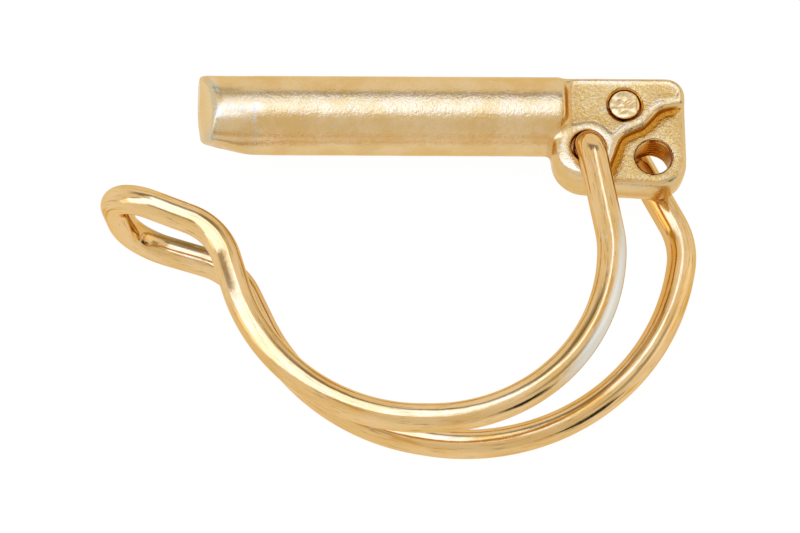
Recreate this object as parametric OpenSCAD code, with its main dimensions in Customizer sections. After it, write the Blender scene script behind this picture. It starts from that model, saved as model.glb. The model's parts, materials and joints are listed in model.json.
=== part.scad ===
// Pipe-type lynch pin: a forged pin with a flat, three-holed head, and a round-arched spring-wire bail
// whose two ends turn in two of the head's holes. It lies on its side: X runs along the shaft,
// from the tip (-X) to the head (+X), and Z is the axis that the bail turns about.
// The origin is on the shaft's axis where the bare shaft begins, level with the front of the head's lobe.
// Millimetres and degrees.

/* [Shaft] */
// Diameter of the round shaft
shaft_d = 10; // [8:0.5:12]
// Usable length, from the head to the tip
shaft_length = 44; // [38:0.5:60]
// Radius on the edge of the tip
tip_round = 0.7; // [0.4:0.1:1.6]
// Length of the flat bevel under the tip
bevel_length = 6; // [3:0.5:9]
// How far the bevel cuts into the shaft at the tip
bevel_depth = 1.9; // [0.8:0.1:2.6]
// Turn of the bevel about the shaft, away from the near side of the head
bevel_turn = 16; // [0:1:25]
// How far the tip is pressed flat at its end, on its near and far sides
press_depth = 0.4; // [0.3:0.1:1]
// Length of the two pressed flats
press_length = 6.4; // [4:0.2:8]
// Lean of the sheared end face towards the near side of the head
end_lean = 7; // [2:1:10]
// Lean of the sheared end face towards the bevel
end_skew = 5; // [0:1:8]
// How far the end face is cut back at the shaft's axis
end_cut = 0.6; // [0.6:0.1:1]

/* [Head] */
// Length of the head, beyond its shoulder
head_length = 15.5; // [14:0.1:19]
// Height of the head above the shaft's axis
head_rise = 4.2; // [3.4:0.1:4.8]
// Thickness of the head over its rim and boss
head_thick = 7; // [6:0.1:9]
// Radius of the upper corner
upper_corner = 2.4; // [1.6:0.1:3]
// Radius of the lower corner, round the spare hole
lower_corner = 3.7; // [3:0.1:4.2]
// Radius of the forged edges
edge_round = 0.6; // [0.3:0.1:1]
// Forging draft: how far the sides lean in, from the middle to each face
draft = 0.15; // [0:0.05:0.3]

/* [Holes] */
// Diameter of the three holes
hole_d = 4.6; // [4.2:0.1:5]
// Metal round the near wire hole
hole_wall = 2.1; // [1.6:0.1:2.6]
// How far the near hole's lobe stands ahead of the shoulder, and stops what the shaft goes through
lobe_overhang = 1.5; // [0.5:0.1:2]
// Depth of the near wire hole below the shaft's axis
near_hole_drop = 5.3; // [4.8:0.1:7]
// Offset of the far wire hole from the near one, along the shaft
far_hole_ahead = 4.8; // [4.2:0.1:6]
// Height of the far wire hole above the near one
far_hole_rise = 5.7; // [5:0.1:6]
// Offset of the spare hole from the near one, along the shaft
spare_hole_ahead = 8.3; // [7.6:0.1:9.6]
// Depth of the spare hole below the near one
spare_hole_drop = 0.9; // [0:0.1:1.4]

/* [Relief] */
// Depth of the upper panel below the rim
upper_sink = 0.35; // [0.2:0.05:0.8]
// Depth of the lower panel below the rim
lower_sink = 1.2; // [0.8:0.1:1.6]
// Width of the raised ring round the near wire hole
boss_width = 1.15; // [0.8:0.05:1.4]
// Width of the rim round the upper panel, with its rounded edge
rim_width = 0.9; // [0.6:0.1:1.4]
// Radius of the raised bead that parts the two panels
bead_r = 0.75; // [0.5:0.05:1]
// Width of the groove beside the bead
groove_width = 0.9; // [0.5:0.1:1.2]
// Depth of the groove below the lower panel
groove_depth = 0.4; // [0.2:0.05:0.7]

/* [Bail] */
// Diameter of the spring wire
wire_d = 3.7; // [3:0.1:4]
// Bend radius where the wire turns out of a hole, at its middle
elbow_r = 2.6; // [2.2:0.1:4]
// Gap between the head and each leg
leg_gap = 0.3; // [0.2:0.05:1]
// Gap between the closed bail and each side of the shaft
loop_gap = 0.35; // [0.2:0.05:1.5]
// Depth of the near leg's knee below its hole
knee_drop = 14; // [12:0.5:18]
// Depth of the round arch below the shaft's axis
arch_depth = 43.3; // [40:0.5:56]
// Reach of the finger loop past the tip
loop_reach = 12.5; // [8:0.5:20]
// Depth of the finger loop's root below the shaft's axis
root_depth = 18.4; // [16:0.2:24]
// Length of the finger loop
loop_length = 14.9; // [12:0.1:22]
// Upward slope of the finger loop
loop_slope = 22; // [10:1:35]

/* [Hidden] */
$fn = 64;
hull_fn = 32;
zinc_gold = [0.80, 0.64, 0.34];
zinc_straw = [0.84, 0.69, 0.40];
cut = 40;

shaft_r = shaft_d / 2;
hole_r = hole_d / 2;
wire_r = wire_d / 2;
head_half = head_thick / 2;
upper_z = head_half - upper_sink;
lower_z = head_half - lower_sink;
// Behind the lobe's front the shaft flares a hair towards the shoulder, and ends there in a chamfer
neck_flare = 0.05;
neck_chamfer = 0.25;
// The head's upper corner at the shoulder, and how far it runs back into the shaft
neck_corner = 1.2;
neck_lap = 0.6;
// The hollow that the near hole's lobe leaves in the shaft's end: its radius less than the lobe's at its
// foot, and how much it widens for each millimetre of height
hollow_inset = 0.3;
hollow_flare = 0.33;
// Width of the plain strip between the shoulder and the upper panel
neck_rim = 0.7;
// The bead's crest stays a hair below the rim, and laps past the step
bead_sink = 0.08;
bead_lap = 0.2;
// Radius of the upper panel's corner beside the shoulder
panel_corner = 0.6;
// The lower panel's border is rounder than the rim
border_round = 1;
border_lap = 0.05;

// Height of the step at the end of each pressed flat
press_step = 0.12;

lobe_r = hole_r + hole_wall;
shoulder_x = lobe_overhang;
head_end = shoulder_x + head_length;
near_hole = [lobe_r, -near_hole_drop];
far_hole = near_hole + [far_hole_ahead, far_hole_rise];
spare_hole = near_hole + [spare_hole_ahead, -spare_hole_drop];
head_taper = 0.05;
head_sag = 0.5;
head_foot = near_hole.y - lobe_r - head_sag;

// The line where the upper panel steps down to the lower one, from the head's foot to its end
step_line = [
    spare_hole + [-6.9, -4.6],
    spare_hole + [-4.1, 2.7],
    spare_hole + [-1.2, 3.9],
    spare_hole + [0.9, 6.3],
    [head_end + 2, spare_hole.y + 7.3],
];
step_radii = [0, 2.6, 2, 1.6, 0];
// How far before the head's end the groove beside the step runs out
groove_stop = 1.2;
// Which way each corner of the line turns: -1 right, 1 left
step_turns = [0, 1, -1, 1, 0];

// The bail's centre line, corner by corner, in plan. The far leg hangs from the hole that is ahead of the
// near one and above it, so each of its corners lies off the near leg's by far_shift.
leg_z = head_half + leg_gap + wire_r;
loop_z = shaft_r + loop_gap + wire_r;
end_z = head_half - 0.1;
// Where the near leg's knee and the arch's two lower corners lie along the shaft
knee_x = near_hole.x + 2.4;
arch_front_x = near_hole.x + 0.7;
arch_back_x = -shaft_length + 8.1;
near_nose = [-shaft_length - loop_reach, -root_depth + loop_length * sin(loop_slope)];
near_plan = [
    near_hole,
    [knee_x, near_hole.y - knee_drop],
    [arch_front_x, -arch_depth],
    [arch_back_x, -arch_depth],
    near_nose + loop_length * [cos(loop_slope), -sin(loop_slope)],
    near_nose,
];
far_shift = [far_hole - near_hole, [10.2, 4.3], [6.4, -2.9], [5, 4.8], [3.1, 0.3], [3.9, -1.2]];
// How far each corner has splayed, from the head's gap to the loop's full width
splay = [0, 0, 0.4, 0.75, 1, 1];
function leg_path(shift, side) = [
    for (i = [0 : 5])
        let (p = near_plan[i] + shift * far_shift[i])
        [p.x, p.y, side * (leg_z + splay[i] * (loop_z - leg_z))]
];
near_leg = leg_path(0, 1);
far_leg = leg_path(1, -1);
wire_path = concat(
    [[near_hole.x, near_hole.y, -end_z]],
    near_leg,
    [for (i = [5 : -1 : 0]) far_leg[i]],
    [[far_hole.x, far_hole.y, end_z]]
);
knee_r = 9.5;
near_root_r = 7.5;
far_root_r = 8;
near_nose_r = 4.6;
far_nose_r = 6.8;
// Share of the arch's bottom that the front bend of each leg takes up
near_split = 0.56;
far_split = 0.67;
// Shortest straight between two bends
least_straight = 0.4;
bend_lap = 0.05;
bend_swell = 0.02;

// Vectors and bends

function unit(v) = v / norm(v);
function along(path, i) = unit(path[i + 1] - path[i]);
function bend_angle(path, i) = acos(min(1, along(path, i - 1) * along(path, i)));
// Length of straight that a bend of radius r takes up on each side of corner i
function bend_run(path, radii, i) =
    (i == 0 || i == len(path) - 1) ? 0 : radii[i] * tan(bend_angle(path, i) / 2);
// Radius of the bend that takes up a length run of straight on each side of corner i
function fitted_radius(path, i, run) = run / tan(bend_angle(path, i) / 2);
function left_of(v) = [-v.y, v.x];
// A flat path moved sideways by d, to its left
function moved_left(path, d) = [
    for (i = [0 : len(path) - 1])
        let (a = left_of(along(path, max(i - 1, 0))), b = left_of(along(path, min(i, len(path) - 2))))
        path[i] + d * (a + b) / (1 + a * b)
];
// The points of a flat path with its corners rounded
function rounded(path, radii, step = 15) = [
    for (i = [0 : len(path) - 1])
        let (run = bend_run(path, radii, i))
        if (run == 0) path[i]
        else let (
            turn = bend_angle(path, i),
            a = along(path, i - 1),
            b = along(path, i),
            side = sign(a.x * b.y - a.y * b.x),
            centre = path[i] - run * a + side * radii[i] * left_of(a),
            n = ceil(turn / step)
        )
            for (k = [0 : n])
                let (w = k * turn / n)
                centre + radii[i] * (sin(w) * a - side * cos(w) * left_of(a))
];
function reversed(list) = [for (i = [len(list) - 1 : -1 : 0]) list[i]];
function raised(path, z) = [for (p = path) [p.x, p.y, z]];

// A round rod from a to b
module straight_rod(a, b, r) {
    v = b - a;
    translate(a)
        rotate([0, acos(v.z / norm(v)), atan2(v.y, v.x)])
            cylinder(h = norm(v), r = r);
}

// A round rod bent at corner i of a path
module bent_corner(path, radii, i, r) {
    a = along(path, i - 1);
    b = along(path, i);
    turn = bend_angle(path, i);
    inward = unit(b - a * cos(turn));
    axis = cross(a, inward);
    centre = path[i] - bend_run(path, radii, i) * a + radii[i] * inward;
    multmatrix([
        [-inward.x, a.x, axis.x, centre.x],
        [-inward.y, a.y, axis.y, centre.y],
        [-inward.z, a.z, axis.z, centre.z],
        [0, 0, 0, 1]
    ])
        rotate_extrude(angle = turn)
            translate([radii[i], 0])
                circle(r = r);
}

// A round rod that follows a path of straights and bends, as a wire bender makes it. Each straight runs a
// hair into the bends beside it, which are a hair fatter.
module bent_rod(path, radii, r) {
    for (i = [0 : len(path) - 2]) {
        lap_before = i == 0 ? 0 : bend_lap;
        lap_after = i == len(path) - 2 ? 0 : bend_lap;
        start = path[i] + along(path, i) * (bend_run(path, radii, i) - lap_before);
        end = path[i + 1] - along(path, i) * (bend_run(path, radii, i + 1) - lap_after);
        straight_rod(start, end, r);
    }
    for (i = [1 : len(path) - 2]) bent_corner(path, radii, i, r + bend_swell);
}

// Forged pin

// Shaft along X: a turned bar with a rounded tip and a chamfer into the head
module shaft() {
    rotate([0, -90, 0])
        rotate_extrude($fn = 96)
            union() {
                polygon([
                    [0, -shoulder_x - neck_chamfer],
                    [shaft_r - neck_chamfer, -shoulder_x - neck_chamfer],
                    [shaft_r + neck_flare, -shoulder_x],
                    [shaft_r, 0],
                    [shaft_r, shaft_length - tip_round],
                    [0, shaft_length - tip_round]
                ]);
                square([shaft_r - tip_round, shaft_length]);
                intersection() {
                    translate([shaft_r - tip_round, shaft_length - tip_round]) circle(r = tip_round);
                    square([shaft_r, shaft_length]);
                }
            }
}

// What the near hole's lobe takes out of the shaft's end: a flared round hollow
module lobe_hollow() {
    foot_r = lobe_r - hollow_inset;
    translate([near_hole.x, near_hole.y, head_half - bead_sink])
        cylinder(h = shaft_r, r1 = foot_r, r2 = foot_r + hollow_flare * shaft_r);
}

// Side view of what the press takes off one side of the tip: a shallow ramp that ends in a short step
module press_cut() {
    rotate([90, 0, 0])
        linear_extrude(cut, center = true)
            polygon([
                [-shaft_length, shaft_r - press_depth],
                [-shaft_length + press_length, shaft_r - press_step],
                [-shaft_length + press_length + 2 * press_step, shaft_r],
                [-shaft_length + press_length + 2 * press_step, cut],
                [-shaft_length - cut, cut],
                [-shaft_length - cut, shaft_r - press_depth]
            ]);
}

// What is cut off the tip: the two pressed flats, the bevel below, and the slice that leaves the end face
// leaning
module tip_cuts() {
    press_cut();
    mirror([0, 0, 1]) press_cut();
    rotate([bevel_turn, 0, 0])
        translate([-shaft_length, -shaft_r + bevel_depth, 0])
            rotate([0, 0, -atan(bevel_depth / bevel_length)])
                translate([-cut / 2, -cut, -cut / 2])
                    cube([cut, cut, cut]);
    translate([-shaft_length + end_cut, 0, 0])
        rotate([0, end_lean, end_skew])
            translate([-cut, -cut / 2, -cut / 2])
                cube([cut, cut, cut]);
}

// One rounded, drafted corner of the head, of radius r, up to the height top
module head_post(r, top, round) {
    profile = concat(
        [[0, -head_half]],
        [for (a = [0 : 22.5 : 90])
            [r - draft - edge_round * (1 - sin(a)), -head_half + edge_round * (1 - cos(a))]],
        [[r, 0]],
        [for (a = [90 : -22.5 : 0]) [r - draft - round * (1 - sin(a)), top - round * (1 - cos(a))]],
        [[0, top]]
    );
    rotate_extrude($fn = hull_fn) polygon(profile);
}

// The head's outline as a forged slab up to the height top, grown by lap
module slab(top = head_half, round = edge_round, lap = 0) {
    hull() {
        translate(near_hole) head_post(lobe_r + lap, top, round);
        translate([head_end - lower_corner, head_foot + lower_corner])
            head_post(lower_corner + lap, top, round);
        translate([head_end - head_taper - upper_corner, head_rise - upper_corner])
            head_post(upper_corner + lap, top, round);
        translate([shoulder_x - neck_lap + neck_corner, head_rise - neck_corner])
            head_post(neck_corner + lap, top, round);
    }
}

// Plan of everything above and behind the step
module upper_plan() {
    polygon(concat(
        rounded(step_line, step_radii),
        [[cut, cut], [-cut, cut], [-cut, -cut]]
    ));
}

// Plan of everything below and beyond the step
module lower_plan() {
    polygon(concat(
        rounded(step_line, step_radii),
        [[cut, -cut]]
    ));
}

// Sunken field of the upper panel, with its two outer corners rounded
module upper_panel() {
    left = shoulder_x + neck_rim;
    right = head_end - head_taper - rim_width;
    top = head_rise - rim_width;
    translate([0, 0, upper_z])
        linear_extrude(head_thick)
            intersection() {
                upper_plan();
                polygon(rounded(
                    [[left, near_hole.y], [left, top], [right, top], [right + head_taper / 2, head_foot]],
                    [0, panel_corner, upper_corner - rim_width, 0]
                ));
            }
}

// Raised ring round the near wire hole, with a rounded shoulder
module boss() {
    boss_round = 0.4;
    translate(near_hole)
        rotate_extrude() {
            square([hole_r + boss_width - boss_round, head_half]);
            square([hole_r + boss_width, head_half - boss_round]);
            translate([hole_r + boss_width - boss_round, head_half - boss_round])
                circle(r = boss_round);
        }
}

// The step line moved to its left by d, with its corners still rounded about the same middles
function step_path(d) = moved_left(step_line, d);
function step_bends(d) = [for (i = [0 : len(step_line) - 1]) max(0, step_radii[i] + step_turns[i] * d)];

// Raised bead along the step
module bead() {
    shift = bead_r - bead_lap;
    intersection() {
        bent_rod(raised(step_path(shift), head_half - bead_sink - bead_r), step_bends(shift), bead_r);
        slab();
    }
}

// What is cut away over the lower panel, down to a face with a rounded border
module lower_recess() {
    difference() {
        linear_extrude(head_thick) lower_plan();
        slab(lower_z, border_round, border_lap);
    }
}

// Groove at the foot of the step, which runs out before the head's end
module groove() {
    translate([0, 0, lower_z - groove_depth])
        linear_extrude(head_thick)
            intersection() {
                polygon(concat(
                    rounded(step_path(-bead_lap), step_bends(-bead_lap)),
                    reversed(rounded(step_path(-bead_lap - groove_width), step_bends(-bead_lap - groove_width)))
                ));
                translate([-cut, -cut]) square([cut + head_end - groove_stop, 2 * cut]);
            }
}

module hole(at) {
    translate([at.x, at.y, -head_thick]) cylinder(h = 2 * head_thick, r = hole_r);
}

module head() {
    difference() {
        slab();
        upper_panel();
        lower_recess();
        groove();
    }
    boss();
    bead();
}

module forged_pin() {
    color(zinc_gold)
        difference() {
            union() {
                difference() {
                    shaft();
                    lobe_hollow();
                }
                head();
            }
            tip_cuts();
            for (at = [near_hole, far_hole, spare_hole]) hole(at);
        }
}

// Wire bail

// Radii of the wire's bends. The two bends of the arch meet at its bottom, so each is as round as the
// straights beside it allow.
function arch_radius(path, i, share, beside, beside_r) =
    fitted_radius(path, i, min(
        share * (norm(path[i] - path[2 * i - beside]) - least_straight),
        norm(path[i] - path[beside]) - beside_r * tan(bend_angle(path, beside) / 2) - least_straight
    ));

wire_radii = [
    0, elbow_r, knee_r,
    arch_radius(wire_path, 3, near_split, 2, knee_r),
    arch_radius(wire_path, 4, 1 - near_split, 5, near_root_r),
    near_root_r, near_nose_r, far_nose_r, far_root_r,
    arch_radius(wire_path, 9, 1 - far_split, 8, far_root_r),
    arch_radius(wire_path, 10, far_split, 11, knee_r),
    knee_r, elbow_r, 0
];

module wire_bail() {
    color(zinc_straw)
        bent_rod(wire_path, wire_radii, wire_r);
}

forged_pin();
wire_bail();
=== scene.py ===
"""The finish of a lynch pin: a forged, sand-grained pin and a bent spring-wire bail, both plated in
yellow-passivated zinc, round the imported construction. The builders work in millimetres, and the finished
meshes are in metres."""

import json
import math

import bmesh
import bpy
import numpy as np
from mathutils import Matrix, Vector, noise


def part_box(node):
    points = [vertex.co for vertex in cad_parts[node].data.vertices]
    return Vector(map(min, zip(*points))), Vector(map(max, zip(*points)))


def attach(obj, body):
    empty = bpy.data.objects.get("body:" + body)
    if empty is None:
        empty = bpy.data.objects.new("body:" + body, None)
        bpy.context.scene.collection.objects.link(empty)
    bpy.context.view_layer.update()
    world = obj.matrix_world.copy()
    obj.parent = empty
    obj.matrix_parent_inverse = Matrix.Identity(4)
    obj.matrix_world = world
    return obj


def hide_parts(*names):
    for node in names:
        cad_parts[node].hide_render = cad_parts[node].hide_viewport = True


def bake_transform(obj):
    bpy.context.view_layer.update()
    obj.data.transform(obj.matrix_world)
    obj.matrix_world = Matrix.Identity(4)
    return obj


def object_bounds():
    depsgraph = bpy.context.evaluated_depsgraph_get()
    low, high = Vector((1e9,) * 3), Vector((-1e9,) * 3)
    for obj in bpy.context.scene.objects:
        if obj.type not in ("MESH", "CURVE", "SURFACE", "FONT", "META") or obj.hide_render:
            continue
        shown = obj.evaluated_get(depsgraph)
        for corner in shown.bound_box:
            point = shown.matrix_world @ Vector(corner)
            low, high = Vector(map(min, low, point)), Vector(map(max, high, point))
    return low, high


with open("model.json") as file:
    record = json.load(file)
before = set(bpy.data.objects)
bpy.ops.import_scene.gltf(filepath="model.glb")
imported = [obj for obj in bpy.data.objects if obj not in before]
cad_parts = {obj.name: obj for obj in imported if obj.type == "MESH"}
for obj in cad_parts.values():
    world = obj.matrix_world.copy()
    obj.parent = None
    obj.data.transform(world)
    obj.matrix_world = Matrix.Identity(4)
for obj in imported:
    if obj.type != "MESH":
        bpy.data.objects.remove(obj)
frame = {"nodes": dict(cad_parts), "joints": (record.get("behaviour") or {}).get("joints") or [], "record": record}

CAD_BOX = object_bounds()

bl_info = {
    "name": "Lynch Pin Finish",
    "version": (1, 0, 0),
    "blender": (4, 5, 0),
    "location": "View3D > Sidebar > Lynch Pin",
    "description": "Builds the forged pin, the spring-wire bail and a plain studio for them",
    "category": "Object",
}

MM = 0.001
SWING = frame["joints"][0]
MOUNTS = {mount["name"]: mount for mount in frame["record"]["mounts"]}
NEAR_HOLE = Vector(SWING["pos_m"][:2]) / MM
SPARE_HOLE = Vector(MOUNTS["spare_hole"]["pos_m"][:2]) / MM
FAR_HOLE = NEAR_HOLE + Vector((4.8, 5.7))
TIP_X = (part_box("forged_pin")[0] / MM).x
SHAFT_RADIUS = 5.0
HEAD_HALF = 3.5
SHOULDER_X = 1.5
HOLE_RADIUS = 2.3


# Node trees


class Signal:
    """A socket of a node tree. Arithmetic on it adds Math nodes."""

    def __init__(self, sketch, socket):
        self.sketch = sketch
        self.socket = socket

    def out(self, name):
        """Another output of the same node."""
        return Signal(self.sketch, self.socket.node.outputs[name])

    def math(self, operation, *others):
        return self.sketch.math(operation, self, *others)

    def __add__(self, other):
        return self.math("ADD", other)

    def __sub__(self, other):
        return self.math("SUBTRACT", other)

    def __mul__(self, other):
        return self.math("MULTIPLY", other)

    def __truediv__(self, other):
        return self.math("DIVIDE", other)

    def __rsub__(self, other):
        return self.sketch.math("SUBTRACT", other, self)

    def __rtruediv__(self, other):
        return self.sketch.math("DIVIDE", other, self)

    __radd__ = __add__
    __rmul__ = __mul__


class Sketch:
    """A node tree being drawn, for a material, the world or a Geometry Nodes modifier."""

    def __init__(self, tree):
        self.tree = tree
        tree.nodes.clear()

    def node(self, kind, settings=None, inputs=None, output=0):
        """Adds a node: its settings first, then its sockets' values or links. Returns the named output."""
        made = self.tree.nodes.new(kind)
        for name, value in (settings or {}).items():
            setattr(made, name, value)
        for name, value in (inputs or {}).items():
            if isinstance(value, Signal):
                self.tree.links.new(value.socket, made.inputs[name])
            else:
                made.inputs[name].default_value = value
        return Signal(self, made.outputs[output]) if made.outputs else None

    def math(self, operation, *values):
        return self.node("ShaderNodeMath", {"operation": operation}, dict(enumerate(values)))

    def vector(self, operation, *values, output=0):
        return self.node("ShaderNodeVectorMath", {"operation": operation}, dict(enumerate(values)), output)

    def dot(self, a, b):
        return self.vector("DOT_PRODUCT", a, b, output="Value")

    def scaled(self, vector, factor):
        return self.node("ShaderNodeVectorMath", {"operation": "SCALE"}, {0: vector, "Scale": factor})

    def step(self, value, low, high):
        """0 where value is at low or before it, 1 at high or past it, and smooth between them."""
        if low > high:
            return 1.0 - self.step(value, high, low)
        settings = {"interpolation_type": "SMOOTHSTEP"}
        inputs = {"Value": value, "From Min": low, "From Max": high}
        return self.node("ShaderNodeMapRange", settings, inputs)

    def mixed(self, factor, a, b):
        return self.node("ShaderNodeMix", {"data_type": "RGBA"}, {0: factor, 6: a, 7: b}, output=2)

    def split(self, vector):
        parts = self.node("ShaderNodeSeparateXYZ", None, {0: vector})
        return parts, parts.out("Y"), parts.out("Z")

    def noise(self, at, scale, detail=2.0, rough=0.5, seed=0.0):
        """Values round 0.5. Scale is in features for each unit of at."""
        settings = {"noise_dimensions": "4D"}
        inputs = {"Vector": at, "W": seed, "Scale": scale, "Detail": detail, "Roughness": rough}
        return self.node("ShaderNodeTexNoise", settings, inputs)

    def stretched(self, at, scale):
        return self.vector("MULTIPLY", at, scale)


def new_material(name):
    material = bpy.data.materials.new(name)
    material.use_nodes = True
    return material, Sketch(material.node_tree)


def new_geometry_tree(name, sizes):
    """A Geometry Nodes tree with a geometry input and output and one number input for each of sizes."""
    tree = bpy.data.node_groups.new(name, "GeometryNodeTree")
    tree.interface.new_socket("Geometry", in_out="INPUT", socket_type="NodeSocketGeometry")
    tree.interface.new_socket("Geometry", in_out="OUTPUT", socket_type="NodeSocketGeometry")
    for size in sizes:
        tree.interface.new_socket(size, in_out="INPUT", socket_type="NodeSocketFloat")
    return tree, Sketch(tree)


def add_geometry_modifier(piece, tree, values):
    """Puts the tree on piece and sets its inputs by their sockets' identifiers."""
    modifier = piece.modifiers.new(tree.name, "NODES")
    modifier.node_group = tree
    named = {s.name: s.identifier for s in tree.interface.items_tree if s.in_out == "INPUT"}
    for name, value in values.items():
        modifier[named[name]] = value
    return modifier


def close_tree(sketch, geometry, material):
    """Ends a Geometry Nodes tree in Realize Instances, Set Material and its output."""
    real = sketch.node("GeometryNodeRealizeInstances", None, {"Geometry": geometry})
    painted = sketch.node("GeometryNodeSetMaterial", None, {"Geometry": real, "Material": material})
    sketch.node("NodeGroupOutput", None, {"Geometry": painted})


def stored(sketch, geometry, name, value, data_type="FLOAT"):
    settings = {"data_type": data_type, "domain": "POINT"}
    inputs = {"Geometry": geometry, "Name": name, "Value": value}
    return sketch.node("GeometryNodeStoreNamedAttribute", settings, inputs)


# Meshes


def new_piece(name, mesh):
    piece = bpy.data.objects.new(name, mesh)
    bpy.context.scene.collection.objects.link(piece)
    return piece


def remove_piece(piece):
    mesh = piece.data
    bpy.data.objects.remove(piece)
    bpy.data.meshes.remove(mesh)


def baked_mesh(rough, name):
    """The plain mesh that a rough piece's modifiers make. The rough piece is removed."""
    bpy.context.view_layer.update()
    evaluated = rough.evaluated_get(bpy.context.evaluated_depsgraph_get())
    mesh = bpy.data.meshes.new_from_object(evaluated)
    mesh.name = name
    remove_piece(rough)
    return mesh


def vertex_array(mesh):
    places = np.empty(len(mesh.vertices) * 3, np.float32)
    mesh.vertices.foreach_get("co", places)
    return places.reshape(-1, 3).astype(float)


def set_vertex_array(mesh, places):
    mesh.vertices.foreach_set("co", places.astype(np.float32).ravel())
    mesh.update()


def laid_straight(mesh):
    """Each point's place on the wire laid straight: along it, across and up."""
    data = mesh.attributes["straight"].data
    places = np.empty(len(data) * 3, np.float32)
    data.foreach_get("vector", places)
    return places.reshape(-1, 3).astype(float)


def smooth(share):
    """A share from 0 to 1, eased at both ends."""
    return share * share * (3 - 2 * share)


def face_outwards(mesh):
    """Turns every face outwards, by the sign of the closed mesh's volume, and shades it smooth."""
    solid = bmesh.new()
    solid.from_mesh(mesh)
    if solid.calc_volume(signed=True) < 0:
        bmesh.ops.reverse_faces(solid, faces=solid.faces)
    solid.to_mesh(mesh)
    solid.free()
    mesh.polygons.foreach_set("use_smooth", [True] * len(mesh.polygons))
    mesh.update()


# Yellow zinc

# Where the pressed flats end, from the tip: their edge there is rubbed
PRESS_LENGTH = 6.6

def zinc_shader(sketch, colour, roughness, height, relief_depth):
    """Ends a material: plated metal under a thin clear film."""
    inputs = {"Strength": 1.0, "Distance": relief_depth, "Height": height}
    bump = sketch.node("ShaderNodeBump", None, inputs)
    shader = sketch.node("ShaderNodeBsdfPrincipled", None, {
        "Base Color": colour,
        "Metallic": 1.0,
        "Roughness": roughness,
        "Specular Tint": (0.92, 0.74, 0.46, 1.0),
        "Coat Weight": 0.12,
        "Coat Roughness": 0.12,
        "Normal": bump,
    })
    sketch.node("ShaderNodeOutputMaterial", None, {"Surface": shader})


def film_colour(sketch, at, look, patch_scale):
    """The passivate's drifting tint: pale straw, deeper gold and a little rose."""
    drift = sketch.noise(at, patch_scale, 3.0, seed=1.0)
    rose = sketch.noise(at, patch_scale * 2.3, 2.0, seed=4.0)
    deeper = sketch.step(drift, 0.36, 0.64)
    gold = sketch.mixed(deeper, (*look.pale_gold, 1.0), (*look.deep_gold, 1.0))
    return sketch.mixed(sketch.step(rose, 0.52, 0.72) * 0.5, gold, (*look.rose_gold, 1.0))


def stored_value(sketch, name):
    """A number that the mesh stores at each point."""
    return sketch.node("ShaderNodeAttribute", {"attribute_name": name}, output="Fac")


def distance_from(sketch, x, y, centre):
    """Distance in plan from centre."""
    off_x = x - centre.x
    off_y = y - centre.y
    return sketch.math("SQRT", off_x * off_x + off_y * off_y)


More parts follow.
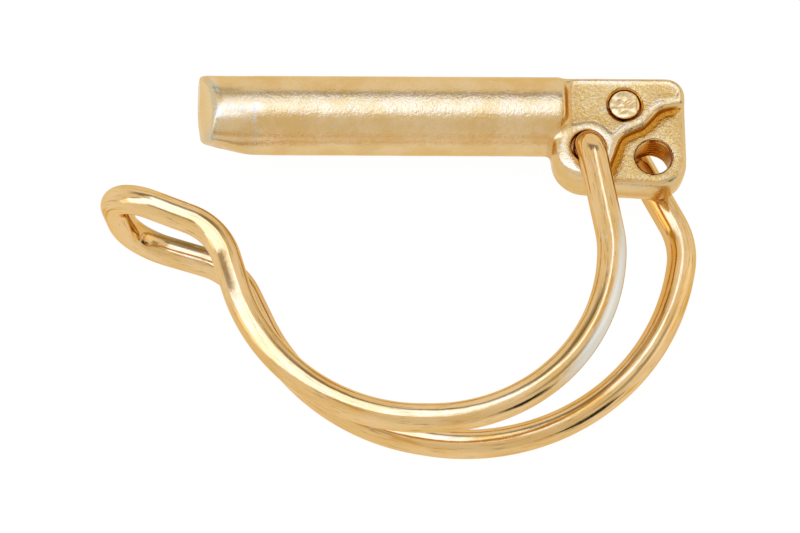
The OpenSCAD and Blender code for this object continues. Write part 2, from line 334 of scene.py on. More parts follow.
def forged_zinc(look):
    """Grainy plated steel: amber in the holes, and in the groove and hollows partly as painted shade, rubbed
    silver at the tip and in specks, a painted lighter end face and a painted shadow line at its edge.
    """
    material, sketch = new_material("forged_zinc")
    at = sketch.scaled(sketch.node("ShaderNodeTexCoord", output="Object"), 1.0 / MM)
    x, y, z = sketch.split(at)
    relief = stored_value(sketch, "relief")
    sand = stored_value(sketch, "sand")
    grain = sketch.noise(at, 2.6, 3.0, 0.6, seed=2.0)
    speckle = sketch.noise(at, 6.0, 2.0, 0.6, seed=3.0)
    pits = sketch.noise(at, 1.1, 2.0, seed=14.0)

    colour = film_colour(sketch, at, look, 0.22)
    low_grain = sketch.step(grain + speckle * 0.4, 0.72, 0.60)
    colour = sketch.mixed(low_grain * (sand * 0.5 + 0.2) + sand * 0.35, colour, (*look.sand_gold, 1.0))
    hollow = sketch.step(relief, 0.012, 0.07)
    groove = sketch.step(z, 2.9, 2.3) * sketch.step(x, SHOULDER_X + 0.5, SHOULDER_X + 1.0)
    head = sketch.step(x, SHOULDER_X - 4.0, SHOULDER_X - 2.0)
    # Partly painted shade: amber in the hollows beside the head and on the groove's low wall, for the passivate
    # pooled there and for the shade that falls there
    colour = sketch.mixed(hollow * head * 0.25, colour, (*look.amber, 1.0))
    colour = sketch.mixed(groove * sketch.step(relief, -0.02, 0.02) * 0.95, colour, (*look.amber, 1.0))

    ridge_line = sketch.step(sketch.math("ABSOLUTE", x - (TIP_X + PRESS_LENGTH)), 0.5, 0.1)
    tip_zone = sketch.step(x, TIP_X + 9.0, TIP_X + 5.5)
    low_side = sketch.step(y, 2.0, -3.0)
    fleck = sketch.noise(at, 2.4, 5.0, 0.7, seed=7.0)
    drift = sketch.noise(at, 0.3, 2.0, seed=9.0)
    ridge = sketch.step(relief, -0.015, -0.06)
    head_rim = sketch.step(x, SHOULDER_X, SHOULDER_X + 1.0) * sketch.step(relief, 0.005, -0.01)
    rub = tip_zone * low_side * 0.05 + ridge_line * 0.07 + low_side * 0.02
    rub = rub + ridge * 0.07 + head_rim * 0.03 + (drift - 0.5) * 0.3
    worn = sketch.step(fleck + rub - sand * 0.04, 0.60, 0.72)
    # Painted light: the end face and its rim are made paler, for light that the tent does not give them
    at_end = sketch.step(x, TIP_X + 2.4, TIP_X + 1.2)
    colour = sketch.mixed(at_end * 0.6, colour, (*look.end_face_light, 1.0))
    # Painted shadow: a dark line along the near part of the sheared end's edge
    end_shadow_line = sketch.step(x, TIP_X + 2.9, TIP_X + 2.5) * sketch.step(relief, -0.06, -0.1)
    end_shadow_line = end_shadow_line * sketch.step(z, 2.0, 3.0)
    colour = sketch.mixed(end_shadow_line * 0.3, colour, (*look.end_shadow_line, 1.0))
    colour = sketch.mixed(worn * (tip_zone * 0.3 + 0.5), colour, (*look.worn_zinc, 1.0))

    def within(hole, outer, inner):
        """1 inside a hole's wall and 0 past it, with the edges given from its radius."""
        return sketch.step(distance_from(sketch, x, y, hole), HOLE_RADIUS + outer, HOLE_RADIUS + inner)

    in_wire_hole = sketch.math("MAXIMUM", within(NEAR_HOLE, -0.02, -0.14), within(FAR_HOLE, 0.1, -0.1))
    in_spare_hole = within(SPARE_HOLE, 0.02, -0.08)
    colour = sketch.mixed(in_wire_hole * 0.95, colour, (*look.hole_amber, 1.0))
    upper_wall = sketch.step(y, SPARE_HOLE.y - 1.0, SPARE_HOLE.y + 1.5)
    drilled_tint = sketch.mixed(upper_wall, colour, (*look.hole_amber, 1.0))
    colour = sketch.mixed(in_spare_hole * 0.3, colour, drilled_tint)

    rings = sketch.math("SINE", z * 9.0 + pits * 3.0) * in_spare_hole
    in_hole = sketch.math("MAXIMUM", in_spare_hole, in_wire_hole)
    tip_smooth = sketch.step(x, TIP_X + 8.0, TIP_X + 6.0) * sketch.step(y, 2.6, 1.8) * 0.6
    grain_level = (sand * 2.2 + 0.9) * (1.0 - in_hole * 0.8) * (1.0 - tip_smooth)
    height = (grain + speckle * 0.5) * grain_level + pits * 0.5 + rings * 0.3
    roughness = 0.15 + sand * 0.03 + worn * 0.12 + hollow * 0.1 + (pits - 0.5) * 0.1 + tip_smooth * 0.2
    zinc_shader(sketch, colour, roughness, height, look.grain_depth * MM)
    return material


def drawn_zinc(look, length):
    """Smooth plated wire: draw lines, brown and olive streaks, rubbed silver on the near leg's outer side, painted
    shade as deeper amber on the side facing the arch's middle and as dark brown on the loop's inner strand."""
    material, sketch = new_material("drawn_zinc")
    at = sketch.node("ShaderNodeAttribute", {"attribute_name": "straight"}, output="Vector")
    rubbed = stored_value(sketch, "rubbed")
    inner = stored_value(sketch, "inner")
    loop_shade = stored_value(sketch, "loop_shade")
    along = sketch.split(at)[0]

    drawn = sketch.stretched(at, (0.08, 1.0, 1.0))
    colour = film_colour(sketch, sketch.stretched(at, (0.3, 1.0, 1.0)), look, 0.4)
    broad = sketch.noise(drawn, 1.3, 3.0, 0.6, seed=5.0)
    fine = sketch.noise(drawn, 4.0, 3.0, 0.6, seed=15.0)
    colour = sketch.mixed(sketch.step(broad, 0.55, 0.68) * 0.7, colour, (*look.amber, 1.0))
    colour = sketch.mixed(sketch.step(fine, 0.57, 0.68) * 0.7, colour, (*look.olive, 1.0))
    # Painted shade: deeper amber on the wire's side that faces the arch's middle, most near the far knee
    colour = sketch.mixed(inner * 0.9, colour, (*look.amber, 1.0))
    # Painted shade: the loop's inner strand is darkened where the near strand shades it
    colour = sketch.mixed(loop_shade * (0.6 + 0.6 * broad), colour, (*look.loop_shade, 1.0))
    fleck = sketch.noise(sketch.stretched(at, (0.3, 1.0, 1.0)), 3.2, 5.0, 0.65, seed=8.0)
    patch = sketch.noise(sketch.stretched(at, (0.1, 0.5, 0.5)), 0.6, 2.0, seed=18.0)
    specks = sketch.step(fleck + rubbed * 0.1 + (patch - 0.5) * 0.3, 0.62, 0.72) * 0.5
    silver = sketch.step(rubbed + (patch - 0.5) * 0.5 + (fleck - 0.5) * 0.4, 0.3, 0.7)
    worn = sketch.math("MAXIMUM", specks, silver)
    colour = sketch.mixed(worn * 0.85, colour, (*look.worn_zinc, 1.0))

    sheared = sketch.step(along, length - 0.5, length - 0.25)
    smear = sketch.noise(sketch.stretched(at, (0.0, 0.5, 1.6)), 1.1, 2.0, seed=31.0)
    smeared = sketch.step(smear, 0.56, 0.66)
    sheared_colour = sketch.mixed(smeared, (*look.sheared, 1.0), (*look.olive, 1.0))
    colour = sketch.mixed(sheared, colour, sheared_colour)
    lines = sketch.noise(sketch.stretched(at, (0.03, 1.0, 1.0)), 6.0, 2.0, seed=6.0)
    dents = sketch.noise(sketch.stretched(at, (0.6, 1.0, 1.0)), 0.8, 2.0, seed=11.0)
    rough = sketch.noise(at, 4.0, 3.0, 0.6, seed=12.0)
    height = lines * 0.5 + dents * 1.2 + rough * (sheared * 2.5 + 0.12)
    roughness = 0.09 + worn * 0.16 + sheared * 0.2 + sketch.step(broad, 0.5, 0.75) * 0.1 + loop_shade * 0.25
    zinc_shader(sketch, colour, roughness, height, look.line_depth * MM)
    return material


# Forged pin

# Passes of the blur that softens the forging, and of the wider one that finds its hollows and ridges
SOFT_PASSES = 60
RELIEF_PASSES = 24
# The sheared end face: where its middle stands, its lean in degrees and how deep its reshaping reaches.
# Reshaped, its middle stands END_INSET in from the tip, and END_ROLL is how fast its near half rolls back.
END_X = -43.4
END_LEAN = 7.0
END_REACH = 2.2
END_INSET = 0.08
END_ROLL = 0.038
# The round that the pressed flats are eased towards tapers over the tip's last millimetres, by this much
# of its radius for each
TIP_TAPER = 0.03
TAPER_LENGTH = 8.0
# How far plating draws each hole's wall in, how far the pull reaches on the face beside it, and its fade
HOLE_PULLS = ((NEAR_HOLE, 0.2), (FAR_HOLE, 0.28), (SPARE_HOLE, 0.06))
PULL_REACH = 0.9
PULL_FADE = 0.8
WELD_DISTANCE = 0.0005


def skin_tree(material):
    """Softens the remeshed forging, gives it its grain, and stores how hollow and how sandy it is."""
    tree, sketch = new_geometry_tree("Forged Skin", ["Wave Depth", "Sand Depth"])
    group = sketch.node("NodeGroupInput", output="Geometry")
    position = sketch.node("GeometryNodeInputPosition")

    def blurred(value, passes, weight):
        inputs = {"Value": value, "Iterations": passes, "Weight": weight}
        return sketch.node("GeometryNodeBlurAttribute", {"data_type": "FLOAT_VECTOR"}, inputs)

    normal = sketch.node("GeometryNodeInputNormal")
    x, y, z = sketch.split(position)
    tip = sketch.step(x, TIP_X + 9.0, TIP_X + 7.5) * sketch.step(x, TIP_X + 1.5, TIP_X + 2.4)
    nearest = distance_from(sketch, x, y, NEAR_HOLE)
    for hole in (SPARE_HOLE, FAR_HOLE):
        nearest = sketch.math("MINIMUM", nearest, distance_from(sketch, x, y, hole))
    softness = tip * 0.9 + sketch.step(nearest, HOLE_RADIUS, HOLE_RADIUS + 0.5) * 0.05 + 0.035
    soft = sketch.node("GeometryNodeSetPosition", None, {
        "Geometry": group,
        "Position": blurred(position, SOFT_PASSES, softness),
    })
    up = sketch.split(normal)[2]
    field = sketch.step(x, SHOULDER_X + 0.9, SHOULDER_X + 1.5) * sketch.step(z, 3.33, 3.2)
    sand = field * sketch.step(up, 0.75, 0.95)
    waves = sketch.noise(position, 0.3, 2.0, seed=21.0) - 0.5
    coarse = sketch.noise(position, 2.3, 1.0, seed=22.0) - 0.5
    lift = waves * group.out("Wave Depth") + coarse * sand * group.out("Sand Depth")
    rough = sketch.node("GeometryNodeSetPosition", None, {
        "Geometry": soft,
        "Offset": sketch.scaled(normal, lift),
    })
    to_level = sketch.vector("SUBTRACT", blurred(position, RELIEF_PASSES, 1.0), position)
    rough = stored(sketch, rough, "relief", sketch.dot(normal, to_level))
    rough = stored(sketch, rough, "sand", sand)
    close_tree(sketch, rough, material)
    return tree


def square_end(places):
    """Stands the end face's far half upright and rolls its near half back, as the shear leaves it."""
    x, z = places[:, 0], places[:, 2]
    leaning = END_X + z * math.tan(math.radians(END_LEAN))
    rolled = TIP_X + END_INSET + END_ROLL * np.maximum(z + 1.0, 0.0) ** 2
    share = np.clip((leaning + END_REACH - x) / 2.0, 0.0, 1.0)
    places[:, 0] = np.maximum(x + (rolled - leaning) * smooth(share), TIP_X)


def round_tip(places):
    """Eases the pressed flats behind the end face back towards the round of the shaft."""
    x, y, z = places.T
    reach = np.hypot(y, z)
    full = SHAFT_RADIUS - TIP_TAPER * np.clip(TIP_X + TAPER_LENGTH - x, 0, TAPER_LENGTH)
    share = np.clip((TIP_X + 9.0 - x) / 2.0, 0, 1) * np.clip(x - TIP_X - 1.5, 0, 1)
    share *= np.clip((y + 3.4) / 1.5, 0, 1) * np.clip(reach - 3.0, 0, 1)
    places[:, 1:] *= (1 + share * np.clip(full / np.maximum(reach, 0.1) - 1, 0, 1))[:, None]


def tighten_hole(places, centre, pull):
    """Draws a hole's wall in by pull, as its plating does, and less of the face beside it."""
    off = places[:, :2] - np.array(centre)
    reach = np.linalg.norm(off, axis=1)
    share = np.clip((HOLE_RADIUS + PULL_REACH - reach) / PULL_FADE, 0.0, 1.0)
    share *= places[:, 0] > SHOULDER_X - 1.0
    places[:, :2] -= off * (pull * share / np.maximum(reach, 0.1))[:, None]


def forged_mesh(look, material):
    """The forging remeshed evenly from its construction solid, in millimetres, then given its skin."""
    mesh = frame["nodes"]["forged_pin"].data.copy()
    mesh.materials.clear()
    mesh.transform(Matrix.Scale(1.0 / MM, 4))
    solid = bmesh.new()
    solid.from_mesh(mesh)
    bmesh.ops.remove_doubles(solid, verts=solid.verts, dist=WELD_DISTANCE)
    solid.to_mesh(mesh)
    solid.free()
    rough = new_piece("rough_forging", mesh)
    remesh = rough.modifiers.new("Even Mesh", "REMESH")
    remesh.mode = "VOXEL"
    remesh.voxel_size = look.mesh_step
    add_geometry_modifier(rough, skin_tree(material), {
        "Wave Depth": look.wave_depth,
        "Sand Depth": look.sand_depth,
    })
    mesh = baked_mesh(rough, "forged_skin")
    places = vertex_array(mesh)
    square_end(places)
    round_tip(places)
    for centre, pull in HOLE_PULLS:
        tighten_hole(places, centre, pull)
    set_vertex_array(mesh, places)
    mesh.transform(Matrix.Scale(MM, 4))
    face_outwards(mesh)
    return mesh


# Spring-wire bail

# Gap between the head and each leg, between the shaft and the loop, and of each end from the head's face
LEG_GAP = 0.3
LOOP_GAP = 0.35
END_GAP = 0.1
# The arch and the finger loop, in plan
KNEE_DROP = 14.0
ARCH_DEPTH = 43.3
ARCH_BACK = -35.9
LOOP_END = -56.5
ROOT_DEPTH = 18.4
LOOP_LENGTH = 14.9
LOOP_SLOPE = math.radians(22)
# Rings that close a sheared wire end: distance from the end, and share of the wire's radius
ROLLED_END = [
    (0.9, 1.0), (0.6, 1.015), (0.42, 1.03), (0.28, 1.03), (0.17, 1.01), (0.09, 0.96), (0.045, 0.87),
    (0.03, 0.68), (0.024, 0.56), (0.018, 0.44), (0.012, 0.32), (0.006, 0.2), (0.0, 0.09),
]
# How deep the roughness of a sheared end reaches, the height of its ridges, and how far it is set back
SHEAR_REACH = 0.35
SHEAR_RIDGE = 0.2
SHEAR_BACK = 0.15
# Middle of the arch, and where the wear and the painted shade lie, as a middle and a half width: along the
# wire from its near end for what is rubbed, from its far end for the painted amber shade, and along X for the
# loop's shade
ARCH_CENTRE = (-15.5, -22.0)
RUBBED = (31.0, 13.0)
AMBER_SHADE_BAND = (24.0, 13.0)
LOOP_SHADE_BAND = (-45.5, 5.5)
# Lengths over which the wire's flex sets in and fades out
FLEX_ONSET = 12.0
FLEX_FADE = 35.0


def unit(v):
    return v / np.linalg.norm(v)


def bend_angle(before, after):
    return math.acos(min(1.0, float(unit(before) @ unit(after))))


class WireRoute:
    """The bail's centre line: straights and round bends between corners, from near end to far end."""

    least_straight = 0.4

    def __init__(self, look):
        self.radius = look.wire_diameter / 2
        self.corners = self.lay_corners()
        self.bends = self.choose_bends(look.elbow_radius)
        self.path = self.points(look.ring_step)
        gaps = np.linalg.norm(np.diff(self.path, axis=0), axis=1)
        self.run = np.concatenate(([0.0], np.cumsum(gaps)))
        self.length = float(self.run[-1])

    def lay_corners(self):
        """The two legs hang from their holes, splay, cross the arch and meet in the finger loop's nose."""
        leg_z = HEAD_HALF + LEG_GAP + self.radius
        loop_z = SHAFT_RADIUS + LOOP_GAP + self.radius
        end_z = HEAD_HALF - END_GAP
        nose = np.array((LOOP_END, LOOP_LENGTH * math.sin(LOOP_SLOPE) - ROOT_DEPTH))
        near_hole = np.array(NEAR_HOLE)
        hole_shift = np.array(FAR_HOLE) - near_hole
        near_plan = [
            near_hole,
            near_hole + (2.4, -KNEE_DROP),
            np.array((near_hole[0] + 0.7, -ARCH_DEPTH)),
            np.array((ARCH_BACK, -ARCH_DEPTH)),
            nose + LOOP_LENGTH * np.array((math.cos(LOOP_SLOPE), -math.sin(LOOP_SLOPE))),
            nose,
        ]
        far_shift = [hole_shift, (10.2, 4.3), (6.4, -2.9), (5, 4.8), (3.1, 0.3), (3.9, -1.2)]
        splay = [0, 0, 0.4, 0.75, 1, 1]
        depth = [leg_z + share * (loop_z - leg_z) for share in splay]
        near_leg = [np.array((*p, z)) for p, z in zip(near_plan, depth)]
        far_leg = [np.array((*(p + shift), -z)) for p, shift, z in zip(near_plan, far_shift, depth)]
        near_end = np.array((*near_hole, -end_z))
        far_end = np.array((*FAR_HOLE, end_z))
        return [near_end, *near_leg, *reversed(far_leg), far_end]

    def turn(self, i):
        return bend_angle(self.corners[i] - self.corners[i - 1], self.corners[i + 1] - self.corners[i])

    def arch_bend(self, i, share, beside, beside_radius):
        """Radius of an arch corner's bend, as round as the straights beside it allow."""
        corners = self.corners
        bottom = np.linalg.norm(corners[i] - corners[2 * i - beside])
        side = np.linalg.norm(corners[i] - corners[beside])
        side -= beside_radius * math.tan(self.turn(beside) / 2)
        run = min(share * (bottom - self.least_straight), side - self.least_straight)
        return run / math.tan(self.turn(i) / 2)

    def choose_bends(self, elbow):
        """Radii of the bends. A leg's split is its near arch corner's share of the arch's bottom."""
        near_knee, far_knee = 14.0, 9.5
        near_root, far_root = 7.5, 8.0
        near_nose, far_nose = 4.6, 6.8
        near_split, far_split = 0.56, 0.67
        return [
            0, elbow, near_knee,
            self.arch_bend(3, near_split, 2, near_knee),
            self.arch_bend(4, 1 - near_split, 5, near_root),
            near_root, near_nose, far_nose, far_root,
            self.arch_bend(9, 1 - far_split, 8, far_root),
            self.arch_bend(10, far_split, 11, far_knee),
            far_knee, elbow, 0,
        ]

    def points(self, step):
        """Points along the route, about a step apart."""
        made = [self.corners[0]]
        for i in range(1, len(self.corners) - 1):
            corner = self.corners[i]
            before = unit(corner - self.corners[i - 1])
            after = unit(self.corners[i + 1] - corner)
            turn = bend_angle(before, after)
            radius = self.bends[i]
            inward = unit(after - before * math.cos(turn))
            centre = corner - radius * math.tan(turn / 2) * before + radius * inward
            arc = []
            count = max(3, round(radius * turn / step))
            for k in range(count + 1):
                w = turn * k / count
                arc.append(centre + radius * (math.sin(w) * before - math.cos(w) * inward))
            self.add_straight(made, arc[0], step)
            made.extend(arc)
        self.add_straight(made, self.corners[-1], step)
        made.append(self.corners[-1])
        return np.array(made)

    @staticmethod
    def add_straight(made, end, step):
        """Fills the straight up to end, without end itself."""
        start = made[-1]
        count = max(1, round(np.linalg.norm(end - start) / step))
        for k in range(1, count):
            made.append(start + (end - start) * k / count)


def wire_tree(material):
    """Sweeps a round section along the route, and stores each point's place on the wire laid straight."""
    tree, sketch = new_geometry_tree("Swept Wire", ["Wire Radius", "Sides"])
    inputs = sketch.node("NodeGroupInput", output="Geometry")
    along = sketch.node("GeometryNodeInputNamedAttribute", {"data_type": "FLOAT"}, {"Name": "along"})
    share = sketch.node("GeometryNodeInputNamedAttribute", {"data_type": "FLOAT"}, {"Name": "share"})
    curve = sketch.node("GeometryNodeMeshToCurve", None, {"Mesh": inputs})
    curve = sketch.node("GeometryNodeSetCurveRadius", None, {"Curve": curve, "Radius": share})
    section = sketch.node("GeometryNodeCurvePrimitiveCircle", None, {
        "Resolution": inputs.out("Sides"),
        "Radius": inputs.out("Wire Radius"),
    })
    position = sketch.node("GeometryNodeInputPosition")
    section = stored(sketch, section, "section", position, "FLOAT_VECTOR")
    swept = sketch.node("GeometryNodeCurveToMesh", None, {
        "Curve": curve,
        "Profile Curve": section,
        "Fill Caps": True,
    })
    for socket in swept.socket.node.inputs:
        if socket.name == "Scale":
            sketch.tree.links.new(share.socket, socket)
    lie = sketch.node("GeometryNodeInputNamedAttribute", {"data_type": "FLOAT_VECTOR"}, {"Name": "section"})
    across, upward, _ = sketch.split(lie)
    place = {"X": along, "Y": across * share, "Z": upward * share}
    straight = sketch.node("ShaderNodeCombineXYZ", None, place)
    swept = stored(sketch, swept, "straight", straight, "FLOAT_VECTOR")
    close_tree(sketch, swept, material)
    return tree


def route_piece(route):
    """The route as a chain of edges. Each point stores its distance along the wire and its share of the
    wire's radius."""
    length = route.length
    clear = ROLLED_END[0][0] + 0.1
    inner = [s for s in route.run if clear < s < length - clear]
    places = [d for d, _ in reversed(ROLLED_END)] + inner + [length - d for d, _ in ROLLED_END]
    shares = [s for _, s in reversed(ROLLED_END)] + [1.0] * len(inner) + [s for _, s in ROLLED_END]
    laid = np.array([np.interp(places, route.run, route.path[:, k]) for k in range(3)]).T
    mesh = bpy.data.meshes.new("route")
    mesh.from_pydata(laid.tolist(), [(i, i + 1) for i in range(len(laid) - 1)], [])
    for name, values in (("along", places), ("share", shares)):
        mesh.attributes.new(name, "FLOAT", "POINT").data.foreach_set("value", values)
    return new_piece("rough_wire", mesh)


def shear_ends(mesh, route):
    """Roughens the two sheared ends, and clips one side of the far one as its cutter did."""
    places = vertex_array(mesh)
    along = laid_straight(mesh)[:, 0]
    clip = 0.8 * route.radius
    for end, middle, way in ((0.0, route.corners[0], -1.0), (route.length, route.corners[-1], 1.0)):
        reach = np.clip(1 - np.abs(along - end) / SHEAR_REACH, 0, 1)
        for i in np.flatnonzero(reach > 0):
            x = places[i, 0] - middle[0]
            y = places[i, 1] - middle[1]
            ridges = noise.noise(Vector((x * 0.9 + y * 0.5, y * 2.2 - x * 1.2, end)))
            slope = 0.05 * x - 0.07 * y
            places[i, 2] += way * reach[i] * (SHEAR_RIDGE * ridges + slope - SHEAR_BACK)
            if way > 0 and x > clip:
                places[i, 0] -= (x - clip) * min(1.0, reach[i] * 1.5)
    set_vertex_array(mesh, places)


def bell(values, middle, width):
    """1 at the middle, falling smoothly to both sides."""
    return np.exp(-(((values - middle) / width) ** 2))


def store_wear_and_shade(mesh, length):
    """Stores where the wire is rubbed, on the near leg's outer side from its knee down, where painted shade
    deepens the amber, on the arch's inner side and most near the far knee, and where painted shade darkens the
    loop."""
    along = laid_straight(mesh)[:, 0]
    normals = np.empty(len(mesh.vertices) * 3, np.float32)
    mesh.vertices.foreach_get("normal", normals)
    normals = normals.reshape(-1, 3)
    places = vertex_array(mesh)
    outward = places - (*ARCH_CENTRE, 0.0)
    outward /= np.linalg.norm(outward, axis=1)[:, None]
    facing = np.einsum("ij,ij->i", normals, outward)
    # Painted shade: deeper amber on the side that faces the arch's middle, most near the far knee
    amber_shade = bell(facing, -0.68, 0.25) * bell(length - along, *AMBER_SHADE_BAND)
    # Painted shade on the loop's inner strand, where the near strand shades it
    loop_zone = bell(places[:, 0], *LOOP_SHADE_BAND) * np.clip(-places[:, 2] / 4.0, 0, 1)
    layers = {
        "rubbed": np.clip((facing - 0.3) / 0.6, 0, 1) * bell(along, *RUBBED),
        "inner": np.maximum(amber_shade, np.clip((-facing - 0.6) / 0.3, 0, 1) * 0.35),
        "loop_shade": np.clip(normals[:, 1] * 2.0, 0, 1) * loop_zone,
    }
    for name, values in layers.items():
        layer = mesh.attributes.new(name, "FLOAT", "POINT")
        layer.data.foreach_set("value", values.astype(np.float32))


def bail_mesh(route, look, material):
    """The wire swept along its route, in millimetres, with its ends sheared and its wear stored."""
    rough = route_piece(route)
    add_geometry_modifier(rough, wire_tree(material), {
        "Wire Radius": route.radius,
        "Sides": float(look.sides),
    })
    mesh = baked_mesh(rough, "swept_wire")
    shear_ends(mesh, route)
    face_outwards(mesh)
    store_wear_and_shade(mesh, route.length)
    return mesh


def flex_shares(route, along, look):
    """How far each point of the wire turns with the bail: not at all in the far hole, wholly past the arch.
    It grows by distance along the wire over distance to the hinge, so that the wire bends evenly."""
    reach = np.linalg.norm(route.path[:, :2] - np.array(NEAR_HOLE), axis=1)
    from_far_end = route.length - route.run
    onset = np.clip((from_far_end - look.flex_start) / FLEX_ONSET, 0, 1)
    fade = np.clip((look.flex_end - from_far_end) / FLEX_FADE, 0, 1)
    rate = onset * smooth(fade) / np.maximum(reach, 1.0)
    steps = 0.5 * (rate[1:] + rate[:-1]) * np.diff(route.run)
    gathered = np.concatenate(([0.0], np.cumsum(steps)))
    return np.interp(along, route.run, 1.0 - gathered / gathered[-1])


def blend_by_share(piece, shares):
    mesh = piece.data
    shape = vertex_array(mesh)
    lay = np.zeros_like(shape)
    lay[:, 0] = 0.5 - np.sin(np.arcsin(np.clip(1 - 2 * shares, -1, 1)) / 3)
    set_vertex_array(mesh, lay)
    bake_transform(piece)
    set_vertex_array(mesh, shape)


# Stage

VIEW_TILT = math.radians(22.0)
VIEW_PAN = math.radians(5.0)
VIEW_ROLL = math.radians(-0.25)
SENSOR_WIDTH = 36.0
TABLE_REACH = 20.0
TABLE_DROP = 0.0001
TABLE_GLOW = 1.03
# Cards of the light tent: middle and half sizes in degrees right of and above the line of sight, turn in
# degrees, level and softness. A later card lies over an earlier one.
CARDS = [
    ((75, 15), (20, 18), 0, 1.25, 0.6),
    ((-70, -12), (14, 10), 25, 1.6, 0.6),
    ((0, -78), (40, 16), 0, 0.95, 0.5),
    ((25, -30), (36, 30), -45, 0.85, 0.5),
    ((82, 78), (22, 14), -45, 0.7, 0.6),
    ((0, 66), (40, 8), 0, 0.35, 0.4),
    ((-17, 60), (8, 8), 0, 0.3, 0.5),
    ((22, 62), (9, 6), -30, 0.3, 0.5),
    ((53, -38), (13, 11), 53, 0.03, 0.35),
    ((46, 9), (9, 14), -12, 0.5, 0.4),
    ((-48, 24), (22, 3), 24, 0.45, 0.4),
    ((-12, -6), (7, 4), 24, 0.5, 0.4),
]
# The soft boxes, laid out in the same way, with their share of the soft light
SOFT_BOXES = [
    ((-26, 12.5), (38, 15.5), 24, 1.0, 0.18),
    ((10, 40), (6, 20), 0, 0.9, 0.45),
]


def view_axes():
    """Right, up and backward vectors of the camera, which looks down past the shaft, turned a little to
    the tip."""
    right = Vector((math.cos(VIEW_PAN), 0, math.sin(VIEW_PAN)))
    back = Vector((
        -math.sin(VIEW_PAN) * math.cos(VIEW_TILT),
        -math.sin(VIEW_TILT),
        math.cos(VIEW_PAN) * math.cos(VIEW_TILT),
    ))
    up = back.cross(right)
    roll = VIEW_ROLL - math.atan2(up.x, right.x)
    turned_right = math.cos(roll) * right - math.sin(roll) * up
    turned_up = math.sin(roll) * right + math.cos(roll) * up
    return turned_right, turned_up, back


def add_camera(look):
    """A long lens. Its scale and aim are set in the plane through the origin."""
    right, up, back = view_axes()
    camera = bpy.data.objects.new("camera", bpy.data.cameras.new("camera"))
    bpy.context.scene.collection.objects.link(camera)
    camera.data.sensor_width = SENSOR_WIDTH
    camera.data.lens = look.lens
    distance = look.lens / SENSOR_WIDTH * look.frame_width
    aim = right * look.aim[0] + up * look.aim[1]
    axes = Matrix((right, up, back)).transposed().to_4x4()
    camera.matrix_world = Matrix.Translation(aim + back * distance) @ axes
    camera.data.clip_start = distance * 0.1
    camera.data.clip_end = distance * 10
    bpy.context.scene.camera = camera


def add_light_tent(look):
    """A white tent of light all round, with two soft boxes overhead and cards of other levels."""
    world = bpy.data.worlds.new("light_tent")
    world.use_nodes = True
    bpy.context.scene.world = world
    sketch = Sketch(world.node_tree)
    right, up, back = view_axes()
    way = sketch.node("ShaderNodeTexCoord", output="Generated")
    side, rise, toward = (sketch.dot(way, tuple(axis)) for axis in (right, up, back))
    angle = sketch.math("ARCCOSINE", toward) * math.degrees(1)
    flat = sketch.math("MAXIMUM", sketch.math("SQRT", side * side + rise * rise), 1e-4)
    across = angle * side / flat
    upward = angle * rise / flat

    def covers(card):
        """1 inside the card and 0 outside it."""
        (x, y), (half_x, half_y), turn, _, soft = card
        cos, sin = math.cos(math.radians(turn)), math.sin(math.radians(turn))
        off_x = (across - x) * (cos / half_x) + (upward - y) * (sin / half_x)
        off_y = (upward - y) * (cos / half_y) - (across - x) * (sin / half_y)
        off = sketch.math("MAXIMUM", off_x.math("ABSOLUTE"), off_y.math("ABSOLUTE"))
        return sketch.step(off, 1 + soft, 1 - soft)

    level = look.tent_level
    for card in CARDS:
        share = covers(card)
        level = level * (1.0 - share) + share * (card[3] * look.tent_level)
    level = sketch.scaled(tuple(look.tent_light), level)
    boxes = 0.0
    for card in SOFT_BOXES:
        boxes = sketch.math("MAXIMUM", boxes, covers(card) * card[3])
    colour = sketch.mixed(boxes, level, (*look.soft_light, 1.0))
    seen = sketch.node("ShaderNodeLightPath", output="Is Camera Ray")
    colour = sketch.mixed(seen, colour, (1.0, 1.0, 1.0, 1.0))
    light = sketch.node("ShaderNodeBackground", None, {"Color": colour})
    sketch.node("ShaderNodeOutputWorld", None, {"Surface": light})


def add_floor(look):
    """A wide pale table under the lowest point of the bail. Seen directly it is nearly white."""
    z = CAD_BOX[0].z - TABLE_DROP
    signs = ((-1, -1), (1, -1), (1, 1), (-1, 1))
    corners = [(x * TABLE_REACH, y * TABLE_REACH, z) for x, y in signs]
    mesh = bpy.data.meshes.new("table")
    mesh.from_pydata(corners, [], [(0, 1, 2, 3)])
    table = new_piece("table", mesh)
    material, sketch = new_material("pale_table")
    paint = sketch.node("ShaderNodeBsdfDiffuse", None, {"Color": (*look.table_colour, 1)})
    glow = sketch.node("ShaderNodeEmission", None, {"Color": (1, 1, 1, 1), "Strength": TABLE_GLOW})
    path = sketch.node("ShaderNodeLightPath", output="Is Camera Ray")
    seen = sketch.math("MAXIMUM", path, path.out("Is Glossy Ray")) * (1.0 - look.shadow_share)
    mix = sketch.node("ShaderNodeMixShader", None, {0: seen, 1: paint, 2: glow})
    sketch.node("ShaderNodeOutputMaterial", None, {"Surface": mix})
    mesh.materials.append(material)


# What a user may change


def length_property(name, description, default, low, high):
    """A length in millimetres."""
    return bpy.props.FloatProperty(
        name=name, description=description, default=default, min=low, max=high, precision=3
    )


def colour_property(name, description, default):
    return bpy.props.FloatVectorProperty(
        name=name, description=description, default=default, subtype="COLOR", size=3, min=0, max=1
    )


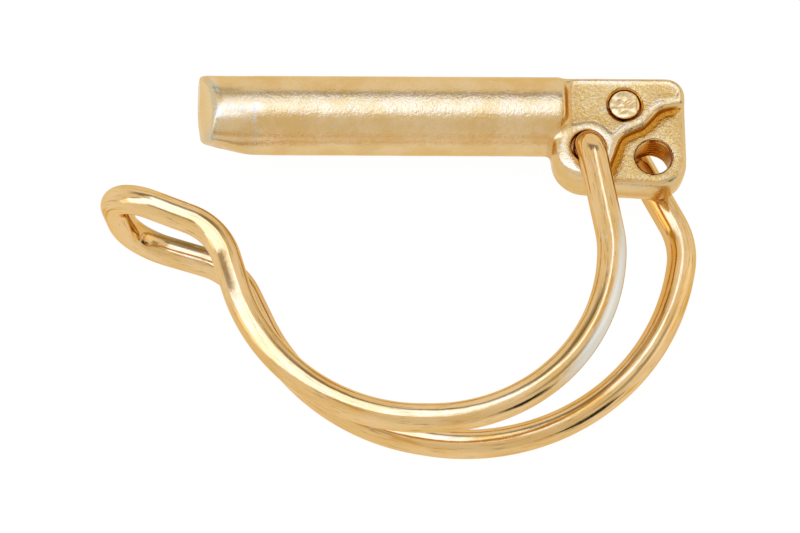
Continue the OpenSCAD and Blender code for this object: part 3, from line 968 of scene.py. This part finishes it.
class PinLook(bpy.types.PropertyGroup):
    """The forged pin's mesh and finish"""

    mesh_step: length_property("Mesh Step", "Size of the even mesh's faces, in mm", 0.18, 0.1, 0.6)
    wave_depth: length_property("Wave Depth", "How far the forged faces wander, in mm", 0.05, 0, 0.3)
    sand_depth: length_property("Sand Depth", "Height of the panels' coarse grain, in mm", 0.13, 0, 0.3)
    grain_depth: length_property("Grain Depth", "Height of the fine grain, in mm", 0.05, 0, 0.2)
    pale_gold: colour_property("Pale Gold", "Lighter tint of the passivate", (0.74, 0.54, 0.28))
    deep_gold: colour_property("Deep Gold", "Deeper tint of the passivate", (0.69, 0.46, 0.185))
    rose_gold: colour_property("Rose Gold", "Rosy tint of the passivate", (0.78, 0.54, 0.32))
    # Painted light: a pale tint that lightens the sheared end face
    end_face_light: colour_property("End Straw", "Tint of the shaft's sheared end", (0.80, 0.64, 0.39))
    # Painted shadow: the dark line along the sheared end's edge
    end_shadow_line: colour_property("End Edge", "Bruised edge of the sheared end", (0.34, 0.26, 0.14))
    sand_gold: colour_property("Sand Gold", "Tint of the panels and of low spots", (0.69, 0.42, 0.10))
    # Partly painted shade: this amber also stands for the shade in the hollows and the groove
    amber: colour_property("Amber", "Passivate pooled in the hollows", (0.50, 0.20, 0.008))
    hole_amber: colour_property("Hole Amber", "Passivate in the holes", (0.62, 0.27, 0.012))
    worn_zinc: colour_property("Worn Zinc", "Zinc where the passivate is rubbed off", (0.58, 0.57, 0.47))


class BailLook(bpy.types.PropertyGroup):
    """The spring wire's mesh and finish"""

    wire_diameter: length_property("Wire Diameter", "Diameter of the spring wire, in mm", 3.7, 2, 5)
    elbow_radius: length_property("Elbow Radius", "Bend radius out of each hole, in mm", 2.6, 2, 5)
    ring_step: length_property("Ring Step", "Distance between rings of the swept wire, in mm", 0.4, 0.2, 2)
    sides: bpy.props.IntProperty(
        name="Sides", description="Faces round the wire", default=48, min=12, max=96, subtype="UNSIGNED"
    )
    flex_start: length_property("Flex Start", "Where flex starts, from the far end, in mm", 8.0, 4, 20)
    flex_end: length_property("Flex End", "Where flex stops, from the far end, in mm", 88.0, 40, 120)
    line_depth: length_property("Line Depth", "Height of the draw lines, in mm", 0.02, 0, 0.2)
    pale_gold: colour_property("Pale Gold", "Lighter tint of the passivate", (0.78, 0.54, 0.26))
    deep_gold: colour_property("Deep Gold", "Deeper tint of the passivate", (0.71, 0.45, 0.165))
    rose_gold: colour_property("Rose Gold", "Rosy tint of the passivate", (0.81, 0.54, 0.30))
    # Also painted shade: the deeper amber on the wire's side that faces the arch's middle
    amber: colour_property("Amber", "Passivate pooled on the wire", (0.62, 0.27, 0.01))
    olive: colour_property("Olive", "Fine dark streaks along the wire", (0.36, 0.26, 0.11))
    worn_zinc: colour_property("Worn Zinc", "Zinc where the passivate is rubbed off", (0.67, 0.69, 0.65))
    # Painted shade: the dark brown of the loop's inner strand, which the near strand shades
    loop_shade: colour_property("Grime", "Dirt on the loop's inner side", (0.24, 0.15, 0.04))
    sheared: colour_property("Sheared", "Rosy tint of the far end's sheared face", (0.85, 0.60, 0.27))


class StageLook(bpy.types.PropertyGroup):
    """The studio"""

    lens: bpy.props.FloatProperty(
        name="Lens", description="Focal length, in mm", default=900.0, min=50, max=1100, unit="CAMERA"
    )
    frame_width: bpy.props.FloatProperty(
        name="Frame Width", description="Width of the picture at the pin", default=0.1003764, unit="LENGTH"
    )
    aim: bpy.props.FloatVectorProperty(
        name="Aim", description="Middle of the picture, right of and above the origin",
        default=(-0.0187942, -0.0187648), size=2, unit="LENGTH",
    )
    tent_level: bpy.props.FloatProperty(
        name="Tent Level", description="Brightness of the tent", default=1.0, min=0
    )
    tent_light: colour_property("Tent Light", "Tint of the tent's light", (1.0, 0.985, 0.97))
    soft_light: bpy.props.FloatVectorProperty(
        name="Soft Light", description="Light of the soft boxes", default=(1.7, 2.25, 3.9),
        subtype="COLOR", min=0, soft_max=4,
    )
    shadow_share: bpy.props.FloatProperty(
        name="Shadow", description="How much of the table's shadow shows", default=0.07,
        min=0, max=1, subtype="FACTOR",
    )
    table_colour: colour_property("Table", "Colour of the table", (0.93, 0.86, 0.73))


class LYNCHPIN_OT_forge_pin(bpy.types.Operator):
    """Build the forged pin with its grain and plating"""

    bl_idname = "lynchpin.forge_pin"
    bl_label = "Forge Pin"

    def execute(self, context):
        look = context.scene.lynch_pin
        material = forged_zinc(look)
        piece = new_piece("forged_skin", forged_mesh(look, material))
        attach(piece, "pin")
        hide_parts("forged_pin")
        return {"FINISHED"}


class LYNCHPIN_OT_bend_bail(bpy.types.Operator):
    """Sweep the spring wire along its route and plate it"""

    bl_idname = "lynchpin.bend_bail"
    bl_label = "Bend Bail"

    def execute(self, context):
        look = context.scene.lynch_bail
        route = WireRoute(look)
        mesh = bail_mesh(route, look, drawn_zinc(look, route.length))
        piece = new_piece("spring_wire", mesh)
        shares = flex_shares(route, laid_straight(mesh)[:, 0], look)
        mesh.transform(Matrix.Scale(MM, 4))
        blend_by_share(piece, shares)
        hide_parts("wire_bail")
        return {"FINISHED"}


class LYNCHPIN_OT_set_stage(bpy.types.Operator):
    """Set up the camera, the light tent and the table"""

    bl_idname = "lynchpin.set_stage"
    bl_label = "Set Stage"

    def execute(self, context):
        look = context.scene.lynch_stage
        add_camera(look)
        add_light_tent(look)
        add_floor(look)
        context.scene.view_settings.view_transform = "Standard"
        return {"FINISHED"}


class LYNCHPIN_PT_sidebar(bpy.types.Panel):
    """Lists the builders and what they read"""

    bl_label = "Lynch Pin"
    bl_space_type = "VIEW_3D"
    bl_region_type = "UI"
    bl_category = "Lynch Pin"

    def draw(self, context):
        for operator, look in BUILDERS:
            box = self.layout.box()
            box.operator(operator.bl_idname)
            group = getattr(context.scene, look)
            for name in group.bl_rna.properties.keys():
                if name not in ("rna_type", "name"):
                    box.prop(group, name)


LOOKS = {"lynch_pin": PinLook, "lynch_bail": BailLook, "lynch_stage": StageLook}
BUILDERS = [
    (LYNCHPIN_OT_forge_pin, "lynch_pin"),
    (LYNCHPIN_OT_bend_bail, "lynch_bail"),
    (LYNCHPIN_OT_set_stage, "lynch_stage"),
]
CLASSES = [*LOOKS.values(), *(operator for operator, _ in BUILDERS), LYNCHPIN_PT_sidebar]


def register():
    for cls in CLASSES:
        bpy.utils.register_class(cls)
    for name, group in LOOKS.items():
        setattr(bpy.types.Scene, name, bpy.props.PointerProperty(type=group))


def unregister():
    for name in LOOKS:
        delattr(bpy.types.Scene, name)
    for cls in reversed(CLASSES):
        bpy.utils.unregister_class(cls)


def main():
    register()
    bpy.ops.lynchpin.forge_pin()
    bpy.ops.lynchpin.bend_bail()
    bpy.ops.lynchpin.set_stage()


if __name__ == "__main__":
    main()
